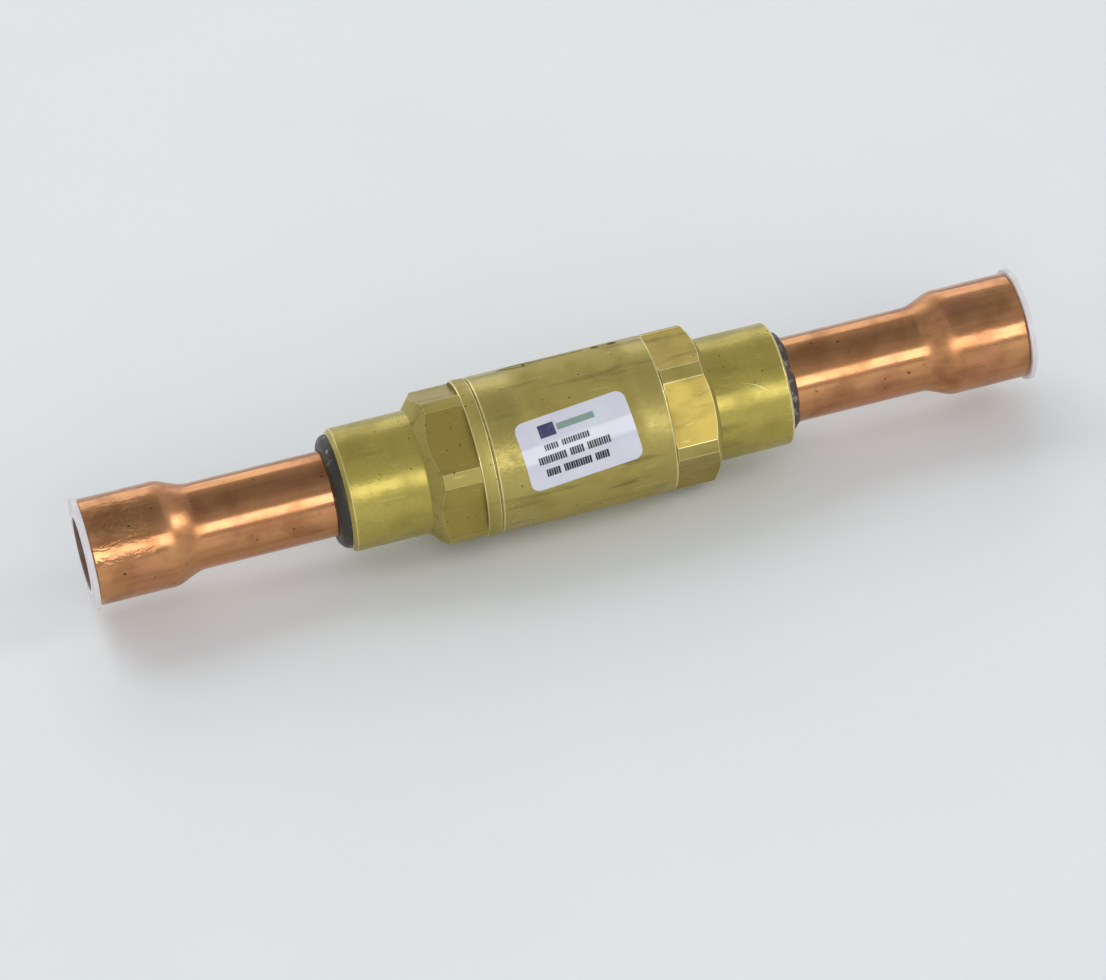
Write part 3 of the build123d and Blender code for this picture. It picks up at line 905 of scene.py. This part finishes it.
@dataclass
class CopperTube:
    """Copper tube with one end swelled into a solder socket, in millimetres."""

    side: Side
    stop_x: float
    finish: Finish
    outer: float = 6.0
    bore: float = 5.0
    socket_outer: float = 7.4
    socket_bore: float = 6.4
    swage_near: float = 51.4
    swage_far: float = 56.2
    mouth: float = 66.4
    reamed: float = 0.25
    rounded: float = 0.12

    def swage(self, low: float, high: float) -> list[tuple[float, float]]:
        """Points of the smooth step that carries a wall from one radius to the next.

        Args:
            low: Radius of the tube.
            high: Radius of the socket.

        Returns:
            The points between the two ends of the step.
        """
        run, rise, count = self.swage_far - self.swage_near, high - low, 14
        shares = [step / count for step in range(1, count)]
        return [(self.swage_near + run * t, low + rise * (t * t * (3 - 2 * t))) for t in shares]

    def build(self) -> Piece:
        """Build the tube and put it in place of its CAD node.

        Returns:
            The tube.
        """
        inside = [(self.swage_near, self.bore)] + self.swage(self.bore, self.socket_bore)
        outside = [(self.swage_near, self.outer)] + self.swage(self.outer, self.socket_outer)
        plain_rows, socket_rows = 12, 6
        plain, socket = self.swage_near - self.stop_x, self.mouth - self.reamed - self.swage_far
        outline = [(self.stop_x + plain * k / plain_rows, self.outer) for k in range(plain_rows)] + outside
        outline += [(self.swage_far + socket * k / socket_rows, self.socket_outer)
                    for k in range(socket_rows + 1)]
        outline += [(self.mouth, self.socket_outer - self.rounded), (self.mouth, self.socket_bore + self.reamed),
                    (self.mouth - self.reamed, self.socket_bore), (self.swage_far, self.socket_bore)]
        outline += inside[::-1] + [(self.stop_x, self.bore)]
        bm = bmesh.new()
        spin_profile(bm, [(x * self.side.value, r) for x, r in outline], steps=144)
        tidy(bm)
        made = finished(bm, f"{self.side.word}_tube_drawn", self.finish)
        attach(made, "housing")
        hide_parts(f"{self.side.word}_tube")
        return made


@dataclass
class BrazeRing:
    """Lumpy ring of brazing alloy between a shank's end face and a tube, in millimetres."""

    side: Side
    face_x: float
    width: float
    run: float
    lump: float
    finish: Finish
    tube: float = 6.0
    fullness: float = 0.9

    def build(self) -> Piece:
        """Build the ring and put it in place of its CAD node.

        Returns:
            The ring.
        """
        points = [(self.face_x - 0.05, self.tube - 0.03)]
        arc_steps = 10
        for step in range(arc_steps + 1):
            turn = math.pi / 2 * step / arc_steps
            points.append((self.face_x + self.run * math.sin(turn) ** self.fullness,
                           self.tube + self.width * math.cos(turn) ** self.fullness))
        bm = bmesh.new()
        spin_profile(bm, points, steps=150)
        tidy(bm)
        for vert in bm.verts:
            beyond = vert.co.x / MM - self.face_x
            if beyond > 0.01:
                # lumps about 3 mm apart, with smaller ones of 1 mm on them
                wobble = noise.noise(vert.co / MM * 0.31) + 0.3 * noise.noise(vert.co / MM * 0.9)
                push = 1 + self.lump * wobble
                vert.co.x = (self.face_x + min(beyond * push, self.run)) * MM
        bmesh.ops.smooth_vert(bm, verts=bm.verts[:], factor=0.3, use_axis_x=True)
        if self.side is Side.OUTLET:
            bmesh.ops.scale(bm, verts=bm.verts[:], vec=(-1, 1, 1))
        bmesh.ops.recalc_face_normals(bm, faces=bm.faces[:])
        made = finished(bm, f"{self.side.word}_braze_fillet", self.finish, weighted=False)
        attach(made, "housing")
        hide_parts(f"{self.side.word}_braze")
        return made


@dataclass
class EndPlug:
    """Push-in plastic plug with a flange and an open cup, in millimetres."""

    side: Side
    finish: Finish = field(default_factory=Polyethylene)
    # the cup's inside is painted dark brown as shade, tinted as by the copper round it
    shaded: Finish = field(
        default_factory=lambda: Polyethylene("moulded_polyethylene_inside_copper", "#83645E", 0.0))
    thin: Finish = field(
        default_factory=lambda: Polyethylene("moulded_polyethylene_thin_flange", "#F5F0F2", 0.24))
    mouth: float = 66.4
    shank: float = 6.35
    flange: float = 7.9
    stand_off: float = 0.1
    thickness: float = 0.8
    depth: float = 5.2
    nose: tuple[float, float] = (0.8, 0.4)
    bead: tuple[float, float] = (5.15, 5.85)
    bead_height: float = 0.08
    cup_mouth: float = 5.0
    cup_floor: float = 4.8
    floor_thickness: float = 1.0

    def build(self) -> Piece:
        """Build the plug and put it in place of its CAD node.

        Returns:
            The plug.
        """
        under = self.mouth + self.stand_off
        face = under + self.thickness
        end = self.mouth - self.depth
        nose_length, nose_step = self.nose
        bead_inner, bead_outer = self.bead
        outline = [
            (end, 0.0), (end, self.shank - nose_step), (end + nose_length, self.shank), (under, self.shank),
            (under, self.flange), (face - self.bead_height, self.flange), (face - self.bead_height, bead_outer),
            (face, bead_outer - 0.1), (face, bead_inner), (face - 0.25, self.cup_mouth),
            (end + self.floor_thickness, self.cup_floor), (end + self.floor_thickness, 0.0),
        ]
        bm = bmesh.new()
        spin_profile(bm, [(x * self.side.value, r) for x, r in outline], steps=128, closed=False)
        tidy(bm)
        # faces inside the cup take the second finish, which is painted shade tinted brown as by the copper round
        # it, and those of the thin flange the third
        for piece in bm.faces:
            level = piece.calc_center_median().yz.length / MM
            piece.material_index = 1 if level < bead_inner - 0.03 else 2 * int(level > bead_outer + 0.05)
        soften(bm, 0.12, angle=35.0)
        made = finished(bm, f"{self.side.word}_plug_moulded", self.finish, self.shaded, self.thin)
        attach(made, f"{self.side.word}_plug")
        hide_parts(f"{self.side.word}_plug")
        return made


@dataclass
class CopperEnds:
    """Both copper tubes with their brazed joints and transport plugs."""

    copper: Finish = field(default_factory=DrawnCopper)
    knocked: Finish = field(default_factory=lambda: DrawnCopper("drawn_copper_with_knocked_socket", dent=0.55,
                                                                roughness=0.14))
    lumpy: Finish = field(default_factory=BrazeAlloy)
    even: Finish = field(default_factory=lambda: BrazeAlloy("brazing_alloy_even", "#35312B", "#85847C", 0.45))

    def build(self) -> list[Piece]:
        """Build the tubes, braze rings and plugs of both sides.

        Returns:
            The six pieces.
        """
        return [
            CopperTube(Side.INLET, 23.7, self.copper).build(),
            CopperTube(Side.OUTLET, 23.3, self.knocked).build(),
            BrazeRing(Side.INLET, 31.7, 1.3, 1.3, 0.75, self.lumpy).build(),
            BrazeRing(Side.OUTLET, 31.3, 2.0, 1.5, 0.10, self.even).build(),
            EndPlug(Side.INLET).build(),
            EndPlug(Side.OUTLET).build(),
        ]


# ------------------------------------------------------------------------------ label
@dataclass
class ProductLabel:
    """Rounded film label wrapped on the barrel, with generic printed blocks, in millimetres and degrees."""

    film: Finish = field(default_factory=LabelFilm)
    length: float = 16.0
    height: float = 10.0
    corner: float = 1.3
    tilt: float = 5.5
    x: float = 1.0
    angle: float = 28.6
    radius: float = 11.01
    thickness: float = 0.08
    ink: float = 0.004

    def tilted(self, bm: BMesh) -> None:
        """Turn a flat mesh by the label's tilt and move it along to the label's place."""
        bmesh.ops.rotate(bm, verts=bm.verts[:], cent=(0, 0, 0),
                         matrix=Matrix.Rotation(math.radians(self.tilt), 3, "Z"))
        bmesh.ops.translate(bm, verts=bm.verts[:], vec=(self.x * MM, 0, 0))

    def sheet(self) -> Piece:
        """Build the film itself and put it in place of its CAD node.

        Returns:
            The film.
        """
        bm = bmesh.new()
        bmesh.ops.create_grid(bm, x_segments=1, y_segments=1, size=0.5,
                              matrix=Matrix.Diagonal((self.length * MM, self.height * MM, 1, 1)))
        bmesh.ops.bevel(bm, geom=bm.verts[:], offset=self.corner * MM, offset_type="OFFSET", affect="VERTICES",
                        segments=8, profile=0.5, material=-1, clamp_overlap=False)
        rows = 20
        for row in range(1, rows):
            level = (row / rows - 0.5) * self.height * MM
            bmesh.ops.bisect_plane(bm, geom=bm.verts[:] + bm.edges[:] + bm.faces[:], dist=1e-8,
                                   plane_co=(0, level, 0), plane_no=(0, 1, 0))
        result = bmesh.ops.extrude_face_region(bm, geom=bm.faces[:])
        lifted = [g for g in result["geom"] if isinstance(g, bmesh.types.BMVert)]
        bmesh.ops.translate(bm, verts=lifted, vec=(0, 0, self.thickness * MM))
        self.tilted(bm)
        wrapped(bm, self.radius, self.angle)
        bmesh.ops.recalc_face_normals(bm, faces=bm.faces[:])
        made = finished(bm, "product_label_film", self.film)
        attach(made, "housing")
        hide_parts("product_label")
        return made

    def blocks(self, name: str, ink: Finish, rows: Iterable[tuple[float, float, float, float]]) -> Piece:
        """Lay printed blocks on the film.

        Args:
            name: Name of the piece.
            ink: Its finish.
            rows: Left end, middle height, length and height of each block, in millimetres
                from the label's middle.

        Returns:
            The printed blocks as one piece.
        """
        bm = bmesh.new()
        for left, y, length, height in rows:
            place = Matrix.Translation(((left + length / 2) * MM, y * MM, 0.0))
            size = Matrix.Diagonal((length / 2 * MM, height / 2 * MM, 1, 1))
            bmesh.ops.create_grid(bm, x_segments=1, y_segments=2, size=1.0, matrix=place @ size)
        self.tilted(bm)
        laid_on(bm, self.ink, self.radius + self.thickness + 0.003, self.angle)
        made = finished(bm, name, ink, weighted=False)
        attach(made, "housing")
        return made

    def strokes(self) -> list[tuple[float, float, float, float]]:
        """Three lines of upright strokes, which stand for words and spell nothing.

        Returns:
            Left end, middle height, width and height of each stroke.
        """
        lines = ((-4.8, 0.739, 0.828, (3, 6)), (-6.1, -0.85, 1.05, (6, 3, 5)), (-5.5, -2.735, 1.08, (3, 6, 3)))
        made = []
        for number, (left, middle, height, words) in enumerate(lines):
            at = left
            for letters in words:
                for stroke in range(2 * letters):
                    second = stroke % 2
                    made.append((at, middle, 0.19 + 0.06 * second + 0.02 * number, height))
                    at += 0.31 + 0.05 * second
                at += 0.5
        return made

    def build(self) -> list[Piece]:
        """Build the film, a plain block and bar, and three lines of strokes.

        Returns:
            The four pieces.
        """
        return [
            self.sheet(),
            self.blocks("label_text_strokes", PrintInk(), self.strokes()),
            self.blocks("label_blue_block", PrintInk("label_ink_blue", "#33345E"), [(-4.9, 3.0, 2.3, 1.8)]),
            self.blocks("label_green_bar", PrintInk("label_ink_green", "#7F9A90"), [(-2.3, 3.0, 5.4, 0.9)]),
        ]


# ------------------------------------------------------------------------------ inner parts
@dataclass
class InnerWorks:
    """Spring made anew, and finishes for the inner CAD pieces, in millimetres."""

    wire: float = 0.25
    mean: float = 3.05
    guide_x: float = -4.6
    head_x: float = 5.43
    lift: float = 3.0
    turns: float = 5.0
    steel: Finish = field(default_factory=DrawnSteel)

    def path(self) -> list[Vector]:
        """Centre line of the coil, with one closed turn at each end.

        Returns:
            Points in metres, 40 to a turn.
        """
        slack, per_turn = 0.03, 40
        start, end = self.guide_x + self.wire + slack, self.head_x - self.wire - slack
        closed = 2.05 * self.wire
        total = self.turns + 2
        points = []
        for step in range(int(total * per_turn) + 1):
            turn = step / per_turn
            if turn <= 1:
                x = start + closed * turn
            elif turn >= total - 1:
                x = end - closed * (total - turn)
            else:
                x = start + closed + (end - start - 2 * closed) * (turn - 1) / (total - 2)
            away = outward(360 * turn)
            points.append((Vector((x, 0, 0)) + away * self.mean) * MM)
        return points

    def spring(self) -> Piece:
        """Carry a round section along the coil.

        Returns:
            The spring.
        """
        bm = bmesh.new()
        points = self.path()
        sides = 12
        rings: list[list[bmesh.types.BMVert]] = []
        for step, point in enumerate(points):
            ahead = points[min(step + 1, len(points) - 1)] - points[max(step - 1, 0)]
            away = Vector((0, point.y, point.z)).normalized()
            side = ahead.normalized().cross(away)
            frame = Matrix((away, side, ahead.normalized())).transposed().to_4x4()
            ring = bmesh.ops.create_circle(bm, cap_ends=False, segments=sides, radius=self.wire * MM,
                                           matrix=Matrix.Translation(point) @ frame)
            rings.append(ring["verts"])
        for first, second in zip(rings, rings[1:]):
            for k in range(sides):
                after = (k + 1) % sides
                bm.faces.new((first[k], first[after], second[after], second[k]))
        bm.faces.new(rings[0])
        bm.faces.new(rings[-1])
        bmesh.ops.recalc_face_normals(bm, faces=bm.faces[:])
        made = finished(bm, "return_spring_coil", self.steel, weighted=False)
        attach(made, "housing")
        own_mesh(made)
        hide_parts("return_spring")
        return made

    def dress(self, nodes: dict[str, Piece]) -> list[Piece]:
        """Give each inner CAD piece its finish.

        Args:
            nodes: The CAD nodes by name.

        Returns:
            The dressed nodes.
        """
        clean = CleanBrass()
        finishes: dict[str, Finish] = {
            "body_seal": SealRubber(), "piston": clean, "piston_guide": clean,
            "seat_gasket": SkivedFluoropolymer(), "gasket_washer": self.steel, "gasket_screw": self.steel,
            "retaining_ring": self.steel,
        }
        for name, finish in finishes.items():
            nodes[name].data.materials.clear()
            nodes[name].data.materials.append(finish.material())
        return [nodes[name] for name in finishes]

    def build(self, nodes: dict[str, Piece]) -> list[Piece]:
        """Build the spring and dress the other inner pieces."""
        return [self.spring(), *self.dress(nodes)]


# ------------------------------------------------------------------------------ studio
@dataclass
class Studio:
    """Pale table, soft lights and the camera, in millimetres and degrees, with the lights in metres."""

    floor_z: float = -11.0
    distance: float = 710.7
    camera_x: float = -117.68
    elevation: float = 35.8
    pan: float = 9.218
    tilt: float = -0.553
    roll: float = -13.847
    lens: float = 170.42
    room: float = 0.58
    overhead: float = 0.32

    def table(self) -> None:
        """Lay the table top, 5 m square."""
        bm = bmesh.new()
        bmesh.ops.create_grid(bm, x_segments=1, y_segments=1, size=2.5,
                              matrix=Matrix.Translation((0, 0, self.floor_z * MM)))
        finished(bm, "table_top", TableTop(), weighted=False)

    def lamp(self, name: str, brightness: float, size: tuple[float, float], place: Vector,
             mirrored: bool = True, shape: str = "RECTANGLE") -> None:
        """Hang one area light that faces the valve.

        Args:
            name: Name of the light.
            brightness: How bright its face is; 1 matches a white wall in full light.
            size: Width along X and height, in metres.
            place: Position in metres.
            mirrored: Whether it shows in shiny surfaces.
            shape: Shape of its face.
        """
        data = bpy.data.lights.new(name, "AREA")
        data.shape = shape
        data.size, data.size_y = size
        data.energy = brightness * math.pi * size[0] * size[1]
        made = bpy.data.objects.new(name, data)
        made.visible_glossy = mirrored
        back = place.normalized()
        across = Vector((1, 0, 0))
        across = (across - back * across.dot(back)).normalized()
        turn = Matrix((across, back.cross(across), back)).transposed()
        made.matrix_world = Matrix.Translation(place) @ turn.to_4x4()
        bpy.context.scene.collection.objects.link(made)

    def lights(self) -> None:
        """Hang a light panel, windows aside and behind, and a soft key light that no metal mirrors."""

        def ring(angle: float, away: float, x: float = 0.0) -> Vector:
            """A point round the flow axis, by angle from the front and distance in metres."""
            return outward(angle) * away + Vector((x, 0, 0))

        self.lamp("light_panel", 2.45, (1.0, 0.40), ring(23.5, 1.0, 0.12))
        self.lamp("side_window", 4.6, (0.36, 0.6), ring(60.0, 0.97, 1.1), shape="ELLIPSE")
        self.lamp("front_wall", 0.06, (3.0, 0.9), ring(14.0, 1.6))
        self.lamp("back_window", 0.9, (2.6, 0.9), ring(154.0, 1.5, -0.3))
        self.lamp("soft_key", 2.8, (1.1, 0.7), ring(126.0, 1.8, -0.5), mirrored=False)
        self.lamp("end_window", 1.8, (0.8, 0.8), Vector((-1.6, -0.5, 0.5)), mirrored=False)

    def surroundings(self) -> None:
        """Even light from the room, with a dimmer patch overhead that is narrow along X."""
        world = bpy.data.worlds.new("pale_room")
        bpy.context.scene.world = world
        world.use_nodes = True
        tree = world.node_tree
        tree.nodes.clear()
        direction = add(tree, "ShaderNodeTexCoord").outputs["Generated"]
        high = add(tree, "ShaderNodeVectorMath", {0: direction, 1: outward(92.0)}, operation="DOT_PRODUCT")
        along = add(tree, "ShaderNodeSeparateXYZ", {0: direction}).outputs["X"]
        aside = add(tree, "ShaderNodeMath", {0: along, 1: 0.16}, operation="SUBTRACT").outputs[0]
        aside = add(tree, "ShaderNodeMath", {0: aside, 1: aside}, operation="MULTIPLY").outputs[0]
        near = add(tree, "ShaderNodeMath", {0: aside, 1: -7.0, 2: high.outputs["Value"]},
                   operation="MULTIPLY_ADD")
        strength = add(tree, "ShaderNodeMapRange",
                       {"Value": near.outputs[0], "From Min": 0.70, "From Max": 0.97,
                        "To Min": self.room, "To Max": self.overhead},
                       interpolation_type="SMOOTHSTEP").outputs[0]
        light = add(tree, "ShaderNodeBackground", {"Color": linear("#EEF1F4"), "Strength": strength})
        add(tree, "ShaderNodeOutputWorld", {"Surface": light.outputs[0]})

    def camera(self) -> None:
        """Place the camera in front of and above the outlet side, looking a little to the right."""
        data = bpy.data.cameras.new("camera")
        data.sensor_width = 36.0
        data.sensor_fit = "HORIZONTAL"
        data.lens = self.lens
        data.clip_start, data.clip_end = 0.01, 20.0
        pan, tilt, roll = (math.radians(a) for a in (self.pan, self.tilt, self.roll))
        ahead = Vector((math.sin(pan) * math.cos(tilt), math.cos(pan) * math.cos(tilt), math.sin(tilt)))
        right = Vector((math.cos(pan), -math.sin(pan), 0.0))
        up = right.cross(ahead)
        across = right * math.cos(roll) + up * math.sin(roll)
        above = up * math.cos(roll) - right * math.sin(roll)
        rise = Matrix.Rotation(-math.radians(self.elevation), 3, "X")
        place = rise @ Vector((self.camera_x, -self.distance, 0.0)) * MM
        turn = Matrix((rise @ across, rise @ above, rise @ -ahead)).transposed()
        made = bpy.data.objects.new("camera", data)
        made.matrix_world = Matrix.Translation(place) @ turn.to_4x4()
        bpy.context.scene.collection.objects.link(made)
        bpy.context.scene.camera = made

    def build(self) -> None:
        """Set up the table, lights, room and camera."""
        bpy.context.scene.view_settings.view_transform = "Standard"
        self.camera()
        self.table()
        self.lights()
        self.surroundings()


# ------------------------------------------------------------------------------ everything
def main(frame: dict) -> None:
    """Build every sub-assembly in order and report its pieces.

    Args:
        frame: What the frame loader returned.
    """
    logging.basicConfig(level=logging.INFO, format="%(name)s: %(message)s")
    Studio().build()
    groups: dict[str, Callable[[], list[Piece]]] = {
        "brass body": BrassBody().build,
        "copper ends": CopperEnds().build,
        "label": ProductLabel().build,
        "inner works": lambda: InnerWorks().build(frame["nodes"]),
    }
    for title, build in groups.items():
        for piece in build():
            LOG.info("%s: %s, %d faces", title, piece.name, len(piece.data.polygons))


if __name__ == "__main__":
    main(FRAME)
